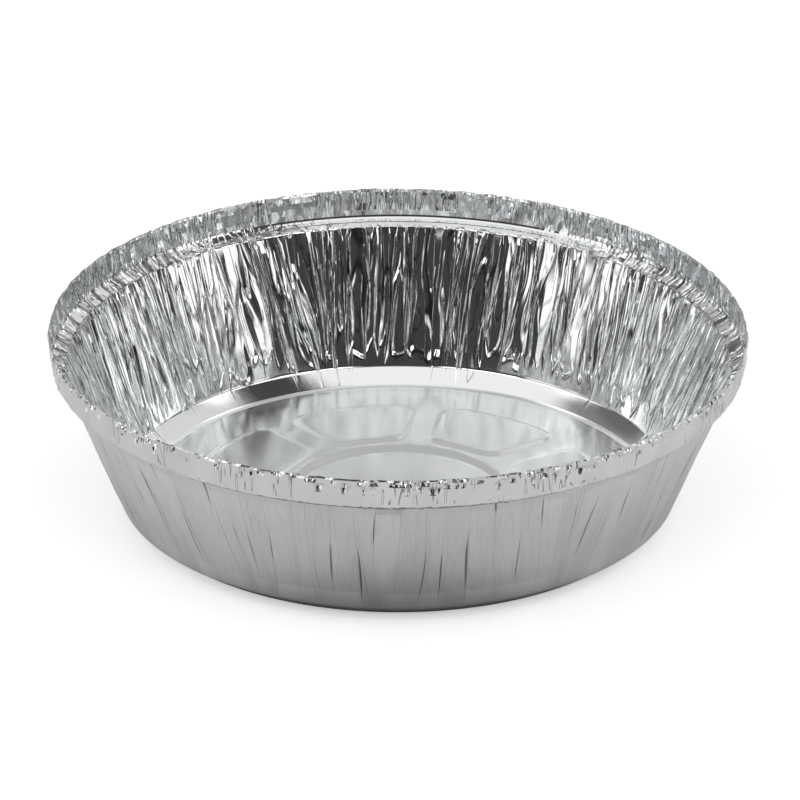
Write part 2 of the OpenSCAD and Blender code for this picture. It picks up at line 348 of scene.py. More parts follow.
def outer_columns(s):
    """Seen from outside each pleat is a shallow valley. Some close to a slit in the middle,
    darkened with painted shade, and a crease leaves the valley on one side like the arm of a Y."""
    middle, _, height = pleat_lines(s)
    rows = s[:, None]
    start = drawn(101, -0.15, 0.45)
    end = start + drawn(102, 0.22, 0.6)
    along = np.clip((rows - start) / (end - start), 0, 1)
    opened = np.sqrt(4 * along * (1 - along)) * (lot(pleat, 103) < WITH_SLIT)
    slit = mix(0.03, drawn(104, 0.12, 0.4) * opened + 0.02, opened > 0) * DEGREES_A_MM
    vale = np.maximum(drawn(105, 0.7, 1.3) * DEGREES_A_MM + slit, 2 * slit)
    sink = height * 0.25 + 0.1 * opened
    deep = sink + SLIT_DEPTH * opened
    zero = np.zeros_like(slit)
    angle = middle[..., None] + np.stack([-vale, -slit, zero, slit, vale], -1)
    lift = np.stack([zero, sink, deep, sink, zero], -1)
    nxt = np.roll(angle[..., 0], -1, axis=1)
    nxt[:, -1] += 360
    last = angle[..., -1]
    leaves = drawn(106, 0, 0.5)
    arm = mix(0.12, drawn(107, 0.3, 0.8), smooth((rows - leaves) / (1 - leaves)))
    arm_at = mix(last, nxt, arm)
    arm_lift = drawn(108, -0.25, 0.1) * np.clip((rows - leaves) * 6, 0, 1)
    arm_lift = arm_lift * np.clip((1.0 - rows) / 0.15, 0, 1)
    near, far = (last + arm_at) / 2, (arm_at + nxt) / 2
    angle = np.concatenate([angle, np.stack([near, arm_at, far], -1)], -1)
    lift = np.concatenate([lift, np.stack([zero, zero + arm_lift, zero], -1)], -1)
    # Painted shade: the slit's bottom column is marked, to be darkened in the material
    slit_shade = np.zeros_like(lift)
    slit_shade[..., 2] = opened
    sharp = np.tile((False, True, False, True, False, False, True, False), PLEATS)
    angle, lift, slit_shade = (v.reshape(len(s), -1) for v in (angle, lift, slit_shade))
    return angle + warp(angle, rows), lift, sharp, slit_shade


def lowest_near(angle, over_angle, over_lift):
    """The lowest that the inner side comes between each column's two neighbours."""
    lowest = np.empty_like(angle)
    for row, (here, at, lift) in enumerate(zip(angle, over_angle, over_lift)):
        at = np.concatenate([at - 360, at, at + 360])
        lift = np.tile(lift, 3)
        before = np.roll(here, 1)
        before[0] -= 360
        between = mix(before[:, None], here[:, None], np.arange(5) / 4)
        low = np.interp(between, at, lift).min(1)
        lowest[row] = np.minimum(low, np.roll(low, -1))
    return lowest


# --- crimps of the flange ---

# Depths of the part's three rows of crimps, as shares of the deepest, and the share of
# the flange's height at which the middle row lies
CRIMP_ROWS, CRIMP_MIDDLE = (0.55, 1, 0.25), 0.45


def between_crimps(angle, trait):
    """The part's number for each crimp, joined straight to the next one."""
    at = ((angle - FIRST_SPOKE) / 360 * CRIMPS + 1) % CRIMPS
    i = np.floor(at).astype(int) % CRIMPS
    return mix(sway(i, trait), sway((i + 1) % CRIMPS, trait), at - np.floor(at))


def crimps(angle, share):
    """How far the part's flange stands in, at an angle and at a share of its height down
    from the raw edge."""
    rows = [CRIMP_DEPTH * d * between_crimps(angle, 10 + k) for k, d in enumerate(CRIMP_ROWS)]
    upper = mix(rows[0], rows[1], np.clip(share / CRIMP_MIDDLE, 0, 1))
    return mix(upper, rows[2], np.clip((share - CRIMP_MIDDLE) / (1 - CRIMP_MIDDLE), 0, 1))


def ragged(angle):
    """How far the raw edge stands up."""
    return EDGE_RAGGED * between_crimps(angle, 20)


# Crumpled patterns: seed and depth in millimetres, then for a coarse and for a fine layer
# the rows and the columns to a step and the share of the depth, and how bold it is
FLANGE_CRUSH = (5, 0.42, (7, 4, 0.55), (7, 2, 0.45), 0.6)
FLANGE_FACETS = (8, 0.07, (3, 6, 0.5), (2, 3, 0.5), 0.6)
LEDGE_CREASES = (7, 0.3, (8, 2, 0.6), (8, 1, 0.4), 0.3)
LEDGE_FACETS = (9, 0.05, (1, 3, 0.6), (2, 2, 0.4))
CRUSHED_SPELLS = (11, 1.0, (1, 14, 0.6), (1, 5, 0.4))
FOLD_ENDS = (12, 0.13, (1, 7, 0.6), (1, 3, 0.4))


def crumple(rows, columns, seed, depth, coarse, fine, bold=0.0):
    """Random facets on a grid: values every few rows and columns, joined straight. A bold
    pattern has few deep values among many shallow ones."""
    rng = np.random.default_rng(seed)
    total = np.zeros((rows, columns))
    for step_r, step_c, share in (coarse, fine):
        nr, nc = -(-rows // step_r) + 1, columns // step_c
        values = rng.uniform(-1, 1, (nr, nc))
        values = mix(values, values ** 3, bold) * mix(1, 1.6, bold)
        r = np.arange(rows) / step_r
        c = np.arange(columns) / step_c
        r0, c0 = np.floor(r).astype(int), np.floor(c).astype(int)
        fr, fc = (r - r0)[:, None], (c - c0)[None, :]
        a = values[r0][:, c0 % nc] * (1 - fc) + values[r0][:, (c0 + 1) % nc] * fc
        b = values[r0 + 1][:, c0 % nc] * (1 - fc) + values[r0 + 1][:, (c0 + 1) % nc] * fc
        total += depth * share * (a * (1 - fr) + b * fr)
    return total


# The steps between dents are shares of a turn round the tin
DENT_SEED, DENT_COUNT, DENT_STEPS = 6, 420, (0.004, 0.008, 0.03, 0.09)
DENTS_AT_BACK = 0.05


def dents(rows, columns):
    """Small three-cornered dents that fingers leave near the raw edge, in clusters. They
    are shallow at the back."""
    rng = np.random.default_rng(DENT_SEED)
    total = np.zeros((rows, columns))
    spot = 0.0
    for _ in range(DENT_COUNT):
        spot += rng.choice(DENT_STEPS) * rng.uniform(0.4, 1.6)
        c, r = int(spot * columns), rng.integers(1, 5)
        reach = rng.integers(1, 5)
        at_back = math.sin(2 * math.pi * c / columns + math.radians(FIRST_SPOKE)) > -0.2
        depth = rng.uniform(0.5, 0.9) * (DENTS_AT_BACK if at_back else 1.0)
        for d in range(-reach, reach + 1):
            total[r, (c + d) % columns] = depth * (1 - abs(d) / (reach + 1))
    return total


# --- the mesh ---

def ovalness(angle, z):
    """How far out of round the tin is, growing from the floor to the raw edge."""
    return OVAL * np.cos(np.radians(2 * (angle - OVAL_ANGLE))) * (z / RIM_Z) ** 2


def sheet_points(place, facing, angle, lift):
    """Points in millimetres, as rows by columns by three."""
    r = place[:, 0, None] + facing[:, 0, None] * lift
    z = place[:, 1, None] + facing[:, 1, None] * lift
    r = r + ovalness(angle, place[:, 1, None])
    a = np.radians(angle)
    return np.stack([r * np.cos(a), r * np.sin(a), z], -1)


class Sheet:
    """Points, faces and marks of the mesh while it is put together. Each point has the
    number of its column, for the sharp edges, its zone marks and its turn on the map."""

    def __init__(self):
        self.points, self.faces, self.columns, self.zones, self.turns = [], [], [], [], []
        self.flat, self.outside = [], []
        self.side = 0.0
        self.count = 0

    def add(self, points, column=None, zone=None, turns=None):
        """Adds points, and gives their numbers."""
        points = np.asarray(points).reshape(-1, 3)
        first = self.count
        self.points.append(points)
        if turns is None:
            turns = np.arctan2(points[:, 1], points[:, 0]) / (2 * math.pi)
        self.turns.append(turns)
        self.outside.append(np.full(len(points), self.side))
        self.columns.append(np.full(len(points), NO_COLUMN) if column is None else column)
        self.zones.append(np.zeros((len(points), 4)) if zone is None else zone)
        self.count += len(points)
        return first + np.arange(len(points))

    def quads(self, grid, flip, flat_rows=0):
        """Faces between the rows of a grid. Its first rows are flat triangles, like the
        small facets of crushed foil."""
        a, b = grid[:-1], grid[1:]
        q = np.stack([a, b, np.roll(b, -1, 1), np.roll(a, -1, 1)], -1)
        if flip:
            q = q[..., ::-1]
        rows, columns = np.indices(q.shape[:2])
        turn = ((rows + columns) % 2 == 0)[..., None]
        q = np.where(turn, q, np.roll(q, 1, -1))
        facets = q[:flat_rows].reshape(-1, 4)
        first = len(self.faces)
        self.faces += facets[:, [0, 1, 2]].tolist() + facets[:, [0, 2, 3]].tolist()
        self.flat += range(first, len(self.faces))
        self.faces += q[flat_rows:].reshape(-1, 4).tolist()

    def lace(self, outer, inner, flip):
        """Triangles between a ring and the one inside it."""
        n, m = len(outer), len(inner)
        inner_for = lambda i: inner[((2 * i + 1) * m + n) // (2 * n) % m]
        outer_for = lambda j: outer[-(-((2 * j + 1) * n - m) // (2 * m)) % n]
        found = [(outer[i], inner_for(i), outer[(i + 1) % n]) for i in range(n)]
        found += [(outer_for(j), inner[j], inner[(j + 1) % m]) for j in range(m)]
        self.faces += [t[::-1] if flip else t for t in found]

    def ring_inside(self, ring, points, flip, zone=None):
        """Adds a ring inside the last one, laced to it."""
        found = self.add(points, zone=zone)
        self.lace(ring, found, flip)
        return found

    def close(self, ring, point, flip):
        """Fills the last ring with triangles round one point."""
        middle = self.add([point])[0]
        found = [(ring[i], middle, ring[(i + 1) % len(ring)]) for i in range(len(ring))]
        self.faces += [t[::-1] if flip else t for t in found]


def band_angles(s, wall_angle):
    """On the ledge and the flange the columns spread out evenly towards the raw edge."""
    count = wall_angle.shape[1]
    even = wall_angle[0].mean() - 180 + 360 * (np.arange(count) + 0.5) / count
    share = np.clip(-s, 0, 1)[:, None]
    return mix(wall_angle, even[None, :], smooth(share))


def wall_shares(count):
    """Rows of the wall, with one close to the rounded edge at either end."""
    return np.concatenate([[0.012], np.linspace(0.06, 0.94, count), [0.985]])


# Rows of the flange from the raw edge down: their shares of its height, how far the edge
# curls in, and how much each row is crushed
INNER_FLANGE = (0, 0.05, 0.13, 0.23, 0.36, 0.56, 0.8)
EDGE_CURL = (0.3, 0.1, 0.0)
CRUSH = (0.4, 1, 1, 1, 0.9, 0.8, 0.25)
FLANGE_ROWS = len(INNER_FLANGE)
# Rows of the ledge with both its corners, and rows of the wall between its end rows
LEDGE_ROWS = 2 * ROUND_ROWS + len(LEDGE_MIDDLE)
INNER_WALL_ROWS, OUTER_WALL_ROWS = 15, 11
# At the back: the small step along the middle of the ledge, and how creased the ledge is
LEDGE_STEP, CREASED_AT_BACK = 0.14, 0.15
# Further down the wall than this share, the folds of the inner side have no sharp edges
SHARP_UNTIL = 0.88
# How much is left of the crush and the creases where the flange is least crushed
LEAST_CRUSHED = 0.25
# Column numbers of the outer side start here, apart from the inner ones. Points with one
# of the last two numbers have no sharp edge.
OUTER_FLANGE_COLUMNS, OUTER_WALL_COLUMNS = 100000, 200000
UNSHARP, NO_COLUMN = -2, -1


def sideways(angle):
    """0 in the middle of the back, 1 from the sides round to the front."""
    return smooth((0.95 - np.sin(np.radians(angle))) / 0.35)


def crush_flange(columns, angle, s):
    """How far each point of the flange stands in, and how crushed each column is."""
    worn = crumple(1, columns, *CRUSHED_SPELLS)
    worn = mix(LEAST_CRUSHED, 1.0, smooth((worn + 0.3) / 0.4))
    band = crimps(angle, (s[:, None] + 1) / (1 + FLANGE_FOOT))
    crush = crumple(FLANGE_ROWS, columns, *FLANGE_CRUSH)
    crush += crumple(FLANGE_ROWS, columns, *FLANGE_FACETS)
    band += crush * np.array(CRUSH)[:, None] * worn
    band += dents(FLANGE_ROWS, columns)
    band[:len(EDGE_CURL)] += np.array(EDGE_CURL)[:, None]
    return band, worn


def crease_ledge(columns, aside):
    """How far each point of the ledge stands in. At the back it is smooth, with a step
    along its middle, and at the sides and the front it is creased."""
    creased = crumple(LEDGE_ROWS, columns, *LEDGE_CREASES)
    creased += crumple(LEDGE_ROWS, columns, *LEDGE_FACETS)
    step = np.zeros((LEDGE_ROWS, 1))
    step[ROUND_ROWS], step[ROUND_ROWS + 1] = LEDGE_STEP, -LEDGE_STEP
    return creased * mix(CREASED_AT_BACK, 1.0, aside) + step * (1 - aside)


# The wall's small creases: their strength at shares above the wall, the share at which
# they end, and how long they take to fade
STRENGTH_ABOVE = ((-0.45, 0.0), (-0.28, 0.6), (-0.1, 0.7), (0.03, 1.0))
CREASES_END, CREASES_FADE = 1.25, 0.5


def upper_marks(s, columns, aside, worn):
    """Marks of the upper grid. The small creases of the wall fade unevenly at its foot,
    and those of the flange where it is less crushed."""
    zone = np.repeat(zone_marks(s)[:, None], columns, 1)
    zone[FLANGE_ROWS:FLANGE_ROWS + LEDGE_ROWS, :, 2] = aside
    ends = crumple(1, columns, *FOLD_ENDS)
    above = np.interp(s, *zip(*STRENGTH_ABOVE))
    below = smooth((CREASES_END + ends - s[:, None]) / CREASES_FADE)
    zone[:, :, 0] = below * above[:, None]
    zone[:FLANGE_ROWS, :, 2] *= worn
    return zone


def build_upper(sheet):
    """The inner side from the raw edge to the floor, and the outer side of the flange."""
    shares = INNER_FLANGE, wall_shares(INNER_WALL_ROWS)
    place, facing, s = section(*shares)
    angle, lift, sharp = inner_columns(s)
    angle = band_angles(s, angle)
    rows, columns = angle.shape
    band, worn = crush_flange(columns, angle[:FLANGE_ROWS], s[:FLANGE_ROWS])
    lift[:FLANGE_ROWS] += band
    ledge = slice(FLANGE_ROWS, FLANGE_ROWS + LEDGE_ROWS)
    aside = sideways(angle[ledge])
    lift[ledge] += crease_ledge(columns, aside)
    lift += swell(angle, s[:, None])
    column = np.tile(np.where(sharp, np.arange(columns), UNSHARP), (rows, 1))
    column[:ledge.stop] = np.arange(columns)
    column[s > SHARP_UNTIL] = UNSHARP
    inner = sheet_points(place, facing, angle, lift + FOIL)
    outer_rows = FLANGE_ROWS + ROUND_ROWS + 1
    place, facing, _ = section(*shares, flange_round=LEDGE_ROUND_OUTSIDE)
    outer = sheet_points(place[:outer_rows], facing[:outer_rows], angle[:outer_rows],
                         lift[:outer_rows])
    edge = ragged(angle[0])
    inner[0, :, 2] += edge
    outer[0, :, 2] += edge
    zone = upper_marks(s, columns, aside, worn)
    turns = np.tile(FIRST_SPOKE / 360 + np.arange(columns) / columns, rows)
    a = sheet.add(inner, column.ravel(), zone.reshape(-1, 4), turns)
    sheet.side = 1.0
    b = sheet.add(outer, OUTER_FLANGE_COLUMNS + column[:outer_rows].ravel(),
                  zone[:outer_rows].reshape(-1, 4), turns[:outer_rows * columns])
    a, b = a.reshape(rows, columns), b.reshape(outer_rows, columns)
    sheet.quads(a, flip=False, flat_rows=ledge.stop - 1)
    sheet.quads(b, flip=True, flat_rows=FLANGE_ROWS)
    sheet.quads(np.stack([b[0], a[0]]), flip=False, flat_rows=1)
    return a[-1], b[-1]


def zone_marks(s):
    """Red on the wall, green on the chamfer, blue on the flange. The fourth mark is where
    the slits get painted shade."""
    wall = smooth((1.0 - s) / 0.16) * smooth((s + 0.03) / 0.1)
    foot = smooth((s - 1.0) / 0.03)
    flange = smooth((-0.44 - s) / 0.16)
    return np.stack([wall, foot, flange, np.zeros_like(s)], -1)


def build_outer_wall(sheet, upper_ring):
    """The outer side from the ledge to the floor."""
    place, facing, s = section((0,), wall_shares(OUTER_WALL_ROWS))
    keep = s >= LEDGE_INNER - 0.001
    place, facing, s = place[keep], facing[keep], s[keep]
    angle, lift, sharp, slit = outer_columns(s)
    angle = band_angles(s, angle)
    over_angle, over_lift, _ = inner_columns(s)
    lift = np.minimum(lift, lowest_near(angle, band_angles(s, over_angle), over_lift))
    lift = lift + swell(angle, s[:, None])
    rows, columns = angle.shape
    zone = np.repeat(zone_marks(s), columns, 0)
    # The fourth mark places the slits' painted shade
    zone[:, 3] = slit.ravel()
    column = np.tile(np.where(sharp, OUTER_WALL_COLUMNS + np.arange(columns), UNSHARP),
                     (rows, 1))
    turns = np.tile(FIRST_SPOKE / 360 + np.arange(columns) / columns, rows)
    grid = sheet.add(sheet_points(place, facing, angle, lift), column.ravel(), zone, turns)
    grid = grid.reshape(rows, columns)
    sheet.quads(grid, flip=True)
    sheet.lace(upper_ring, grid[0], flip=True)
    return grid[-1]


# --- the floor ---

CORNER_STEPS, ARC_STEPS = 6, 7
OUTER_STEPS, INNER_STEPS = CORNER_STEPS + ARC_STEPS, CORNER_STEPS + 1


def turned(points, angle):
    """Points of the plane, turned about the tin's axis."""
    return np.asarray(points) @ spin(math.radians(angle)).T


def half_outline(inset):
    """The outer and the inner corner of half a panel, whose middle line is X."""
    half = math.radians(180 / PANELS)
    corner = PANEL_CORNER - inset
    along = np.array([math.cos(half), math.sin(half)])
    inwards = np.array([math.sin(half), -math.cos(half)])
    off = SPOKE_W / 2 + inset + corner
    reach = PANEL_REACH - inset - corner
    outer = along * math.sqrt(reach * reach - off * off) + inwards * off
    inner = along * ((PANEL_START + inset + corner - off * math.sin(half)) / math.cos(half))
    inner = inner + inwards * off
    first, side = math.atan2(outer[1], outer[0]), math.pi / 2 + half
    steps = np.arange(CORNER_STEPS + 1) / CORNER_STEPS
    a = np.concatenate([mix(first, side, steps), mix(side, math.pi, steps)])
    middle = np.repeat([outer, inner], CORNER_STEPS + 1, 0)
    return middle + corner * np.stack([np.cos(a), np.sin(a)], -1)


def outline(inset):
    """A panel's outline, from the middle of one outer corner, anticlockwise."""
    half = half_outline(inset)
    mirrored = half[::-1] * (1, -1)
    middle = len(half) - 1 - CORNER_STEPS // 2
    r, start = np.hypot(*half[0]), math.atan2(half[0, 1], half[0, 0])
    a = mix(-start, start, np.arange(1, ARC_STEPS) / ARC_STEPS)
    arc = r * np.stack([np.cos(a), np.sin(a)], -1)
    return np.concatenate([mirrored[middle:], arc, half, mirrored[:middle]])


def floor_z(r):
    """The floor rises a little from the panels' outer ends to the round step."""
    return STEP_H * np.clip((PANEL_REACH - r) / (PANEL_REACH - STEP_R), 0, 1)


def floor_ring(count, r, z):
    """A round ring of points."""
    a = np.radians(FIRST_SPOKE + 360 * np.arange(count) / count)
    return np.stack([r * np.cos(a), r * np.sin(a), np.full(count, z)], -1)


# Insets of the loops on a panel's slope, and the share of its height that each has
SLOPE_LOOPS = ((0.0, 0.0), (0.25, 0.04), (0.7, 0.25), (1.5, 0.75), (1.95, 0.96), (2.2, 1.0),
               (3.6, 1.0))
# Rings on the slope of the round step: the share of its width and how far down they are
STEP_RINGS = ((0.12, 0.04), (0.35, 0.28), (0.65, 0.72), (0.88, 0.96), (1.0, 1.0))
# Rings of the flat middle, as shares of its radius
MIDDLE_RINGS = (0.93, 0.6, 0.3)
# How far inside the foot of the chamfer the floor's own first ring lies
EDGE_INSET = 1.2


def panel_loops(index, lift):
    """Rings of one panel, from the foot of its slope inwards."""
    angle = FIRST_SPOKE + 360 / PANELS * (index + 0.5)
    loops = []
    for inset, share in SLOPE_LOOPS:
        flat = outline(min(inset, PANEL_CORNER - 1))
        z = floor_z(np.hypot(flat[:, 0], flat[:, 1])) + PANEL_H * share + lift
        loops.append(np.column_stack([turned(flat, angle), z]))
    return loops


def build_floor(sheet, upper_ring, lift, flip):
    """The floor from the foot of the chamfer to its middle, on one side of the foil."""
    floor_count, step_count = PANELS * OUTER_STEPS, PANELS * INNER_STEPS
    edge = floor_ring(floor_count, FLOOR_R - EDGE_INSET, lift)
    edge_ring = sheet.ring_inside(upper_ring, edge, flip)
    step_ring = sheet.add(floor_ring(step_count, STEP_R, STEP_H + lift))
    corner = CORNER_STEPS // 2
    levels = np.hypot(*half_outline(0)[corner + 1:corner + 1 + CORNER_STEPS].T)
    spokes = []
    for i in range(PANELS):
        flat = turned([(r, 0) for r in levels], FIRST_SPOKE + 360 / PANELS * i)
        spokes.append(sheet.add(np.column_stack([flat, floor_z(levels) + lift])))
    for i in range(PANELS):
        near, far = spokes[i], spokes[(i + 1) % PANELS]
        ring = [edge_ring[(OUTER_STEPS * i + k) % floor_count] for k in range(OUTER_STEPS + 1)]
        ring += list(far)
        ring += [step_ring[(INNER_STEPS * i + k) % step_count]
                 for k in range(INNER_STEPS, -1, -1)]
        ring += list(near[::-1])
        build_panel(sheet, ring, i, lift, flip)
    build_step(sheet, step_ring, lift, flip)


def build_panel(sheet, ring, index, lift, flip):
    """One raised panel, inside the ring that runs round it."""
    for loop in panel_loops(index, lift):
        ring = sheet.ring_inside(ring, loop, flip)
    angle = math.radians(FIRST_SPOKE + 360 / PANELS * (index + 0.5))
    r = (PANEL_REACH + PANEL_START) / 2
    sheet.close(ring, (r * math.cos(angle), r * math.sin(angle),
                       floor_z(r) + PANEL_H + lift), flip)


def build_step(sheet, ring, lift, flip):
    """The slope of the round step, marked like the chamfer, and the flat middle."""
    count = len(ring)
    for share, drop in STEP_RINGS:
        points = floor_ring(count, STEP_R - STEP_W * share, STEP_H * (1 - drop) + lift)
        ring = sheet.ring_inside(ring, points, flip, np.tile((0, 1.0, 0, 0), (count, 1)))
    for share in MIDDLE_RINGS:
        points = floor_ring(count, (STEP_R - STEP_W) * share, lift)
        ring = sheet.ring_inside(ring, points, flip)
    sheet.close(ring, (0, 0, lift), flip)


def numbers_of(items, name, each=1):
    found = np.empty(each * len(items), np.int32)
    items.foreach_get(name, found)
    return found


def mark_sharp(mesh, column):
    """The edges that run along one column are sharp."""
    ends = column[numbers_of(mesh.edges, "vertices", 2)].reshape(-1, 2)
    sharp = (ends[:, 0] == ends[:, 1]) & (ends[:, 0] >= 0)
    mark = mesh.attributes.new("sharp_edge", "BOOLEAN", "EDGE")
    mark.data.foreach_set("value", sharp)


def build_tin():
    sheet = Sheet()
    inner_ring, outer_ring = build_upper(sheet)
    outer_foot = build_outer_wall(sheet, outer_ring)
    build_floor(sheet, outer_foot, 0.0, flip=True)
    sheet.side = 0.0
    build_floor(sheet, inner_ring, FOIL, flip=False)
    points = np.concatenate(sheet.points) * MM
    mesh = bpy.data.meshes.new("foil_tin")
    mesh.from_pydata(points.tolist(), [], sheet.faces)
    mesh.update()
    smooth_faces = np.ones(len(mesh.polygons), bool)
    smooth_faces[sheet.flat] = False
    mesh.polygons.foreach_set("use_smooth", smooth_faces)
    mark_sharp(mesh, np.concatenate(sheet.columns))
    zone = mesh.attributes.new("zone", "FLOAT_COLOR", "POINT")
    zone.data.foreach_set("color", np.concatenate(sheet.zones).ravel())
    outside = mesh.attributes.new("outside", "FLOAT", "POINT")
    outside.data.foreach_set("value", np.concatenate(sheet.outside))
    lay_out(mesh, points, np.concatenate(sheet.turns))
    tin = bpy.data.objects.new("foil_tin", mesh)
    bpy.context.scene.collection.objects.link(tin)
    return tin


def lay_out(mesh, points, turns):
    """A UV map that unrolls the wall: metres round the tin, following the folds, and up."""
    angle = 2 * math.pi * turns
    loops = numbers_of(mesh.loops, "vertex_index")
    start = numbers_of(mesh.polygons, "loop_start")
    first = np.repeat(angle[loops[start]], numbers_of(mesh.polygons, "loop_total"))
    a = angle[loops]
    a = a + 2 * math.pi * np.round((first - a) / (2 * math.pi))
    uv = mesh.uv_layers.new(name="unrolled")
    both = np.stack([a * (MIDDLE_R * MM), points[loops, 2]], -1).astype(np.float32)
    uv.data.foreach_set("uv", both.ravel())


# --- nodes ---

def attach(tree, socket, value):
    """Sets a socket to a value, or links another socket to it."""
    if isinstance(value, bpy.types.NodeSocket):
        tree.links.new(value, socket)
    else:
        socket.default_value = value


def node(tree, kind, *first, **named):
    """A node with its first sockets, and with others and its settings by name."""
    made = tree.nodes.new(kind)
    for name, value in named.items():
        if name in made.inputs.keys():
            attach(tree, made.inputs[name], value)
        else:
            setattr(made, name, value)
    for socket, value in zip(made.inputs, first):
        attach(tree, socket, value)
    return made


def calc(tree, operation, *values, clamp=False):
    """The outcome of a math node on numbers and sockets."""
    return node(tree, "ShaderNodeMath", *values, operation=operation, use_clamp=clamp).outputs[0]


def on_vectors(tree, operation, *values):
    made = node(tree, "ShaderNodeVectorMath", *values, operation=operation)
    return made.outputs["Value" if operation in ("DOT_PRODUCT", "LENGTH") else "Vector"]


def ramp(tree, value, start, end, low=0.0, high=1.0):
    """A smooth step from `low` to `high` while the value goes from `start` to `end`."""
    made = node(tree, "ShaderNodeMapRange", interpolation_type="SMOOTHSTEP")
    for name, given in (("Value", value), ("From Min", start), ("From Max", end),
                        ("To Min", low), ("To Max", high)):
        attach(tree, made.inputs[name], given)
    return made.outputs[0]


def blend(tree, mask, a, b):
    """A colour that goes from a to b as the mask goes from 0 to 1."""
    made = node(tree, "ShaderNodeMix", mask, data_type="RGBA")
    for place, value in ((6, a), (7, b)):
        attach(tree, made.inputs[place], value + (1,) if isinstance(value, tuple) else value)
    return made.outputs[2]


def new_material(name):
    """A material, its tree and the sockets of its shader."""
    made = bpy.data.materials.new(name)
    made.use_nodes = True
    return made, made.node_tree, made.node_tree.nodes["Principled BSDF"].inputs


# --- the finish ---

INNER_TONE, OUTER_TONE = (0.86, 0.87, 0.875), (0.69, 0.70, 0.705)
# The slit tone and the line tone are painted shade, for the slits and the creases' lines
RUBBED_TONE, SLIT_SHADE_TONE, CREASE_SHADE_TONE = (0.76, 0.77, 0.775), (0.08, 0.08, 0.08), (0.1, 0.1, 0.1)
INNER_GLOSS, OUTER_GLOSS, FLOOR_GLOSS = 0.08, 0.25, 0.2
# Creases: what part they are on, across and along in folds a metre, edge, depth in mm
# and how dark the painted shade of their lines is
CREASES = (
    ("wall", 520.0, 38.0, 0.05, 0.27, 0.8),
    ("wall", 1400.0, 90.0, 0.06, 0.035, 0.45),
    ("flange", 1000.0, 100.0, 0.05, 0.14, 0.8),
    ("ledge", 700.0, 60.0, 0.13, 0.2, 0.9),
    ("outer wall", 1300.0, 60.0, 0.05, 0.03, 0.1),
    ("outer wall", 130.0, 16.0, 0.3, 0.5, 0.0),
)
# How far apart the creases' patterns lie, and how far the ground sinks where they end
SEED_STEP, SHRINK = 7.3, 0.7
# Depth of the grain on the chamfer and what the whole tin has, in mm, and grains a metre
GRAIN_FOOT, GRAIN_FLOOR, GRAIN_SCALE = 0.012, 0.003, 4200.0
# The flange's creases start at this height, and the floor's finish ends at this one
FLANGE_FROM_Z, FLOOR_TO_Z = LEDGE_Z + 1.0, 1.6
# How much shallower the flange's creases are on its outer side
CALMER_OUTSIDE = 0.25


def crease_group():
    """Small creases that run along the folds: low, flat islands with steep edges, drawn
    out along the second axis of the unrolled map, and a line of painted shade at their
    feet. They shrink away where `Where` falls from 1 to 0."""
    group = bpy.data.node_groups.new("small_creases", "ShaderNodeTree")
    group.interface.new_socket("Unrolled", in_out="INPUT", socket_type="NodeSocketVector")
    for name in ("Across", "Along", "Edge", "Seed", "Where"):
        socket = group.interface.new_socket(name, in_out="INPUT", socket_type="NodeSocketFloat")
        socket.default_value = 1.0
    for name in ("Height", "Line"):
        group.interface.new_socket(name, in_out="OUTPUT", socket_type="NodeSocketFloat")
    given = group.nodes.new("NodeGroupInput").outputs
    result = group.nodes.new("NodeGroupOutput").inputs
    scale = node(group, "ShaderNodeCombineXYZ", X=given["Across"], Y=given["Along"], Z=1.0)
    place = on_vectors(group, "MULTIPLY", given["Unrolled"], scale.outputs[0])
    place = on_vectors(group, "ADD", place, given["Seed"])
    noise = node(group, "ShaderNodeTexNoise", noise_dimensions="2D", Vector=place, Scale=1.0,
                 Detail=0.6, Roughness=0.4, Distortion=0.0)
    sunk = calc(group, "MULTIPLY", calc(group, "SUBTRACT", 1.0, given["Where"]), SHRINK)
    ground = calc(group, "SUBTRACT", noise.outputs[0], sunk)
    low = calc(group, "SUBTRACT", 0.5, given["Edge"])
    high = calc(group, "ADD", 0.5, given["Edge"])
    attach(group, result["Height"], ramp(group, ground, low, high))
    # The line output is painted shade along the foot of each island
    from_foot = calc(group, "ABSOLUTE", calc(group, "SUBTRACT", ground, low))
    attach(group, result["Line"], ramp(group, from_foot, 0.0, given["Edge"], 1.0, 0.0))
    return group


def part_masks(tree, coords):
    """Masks of the parts of the tin, from the marks on its points and their height."""
    zone = node(tree, "ShaderNodeAttribute", attribute_name="zone").outputs
    wall, foot, rim = node(tree, "ShaderNodeSeparateColor", Color=zone["Color"]).outputs[:3]
    z = node(tree, "ShaderNodeSeparateXYZ", Vector=coords).outputs["Z"]
    outside = node(tree, "ShaderNodeAttribute", attribute_name="outside").outputs["Fac"]
    both = lambda a, b: calc(tree, "MULTIPLY", a, b)
    less = lambda a, b: calc(tree, "SUBTRACT", a, b)
    inside = less(1.0, outside)
    flange = both(rim, calc(tree, "GREATER_THAN", z, FLANGE_FROM_Z * MM))
    low = both(calc(tree, "LESS_THAN", z, FLOOR_TO_Z * MM), inside)
    return {"ledge": both(less(rim, flange), inside),
            "wall": both(wall, inside),
            "outer wall": both(wall, outside),
            "flange": both(flange, less(1.0, both(outside, CALMER_OUTSIDE))),
            "floor": both(low, less(1.0, foot)),
            "chamfer": foot,
            "outside": outside,
            "outside below": both(outside, less(1.0, rim)),
            # The slit mask places painted shade in the slits
            "slit": zone["Alpha"]}


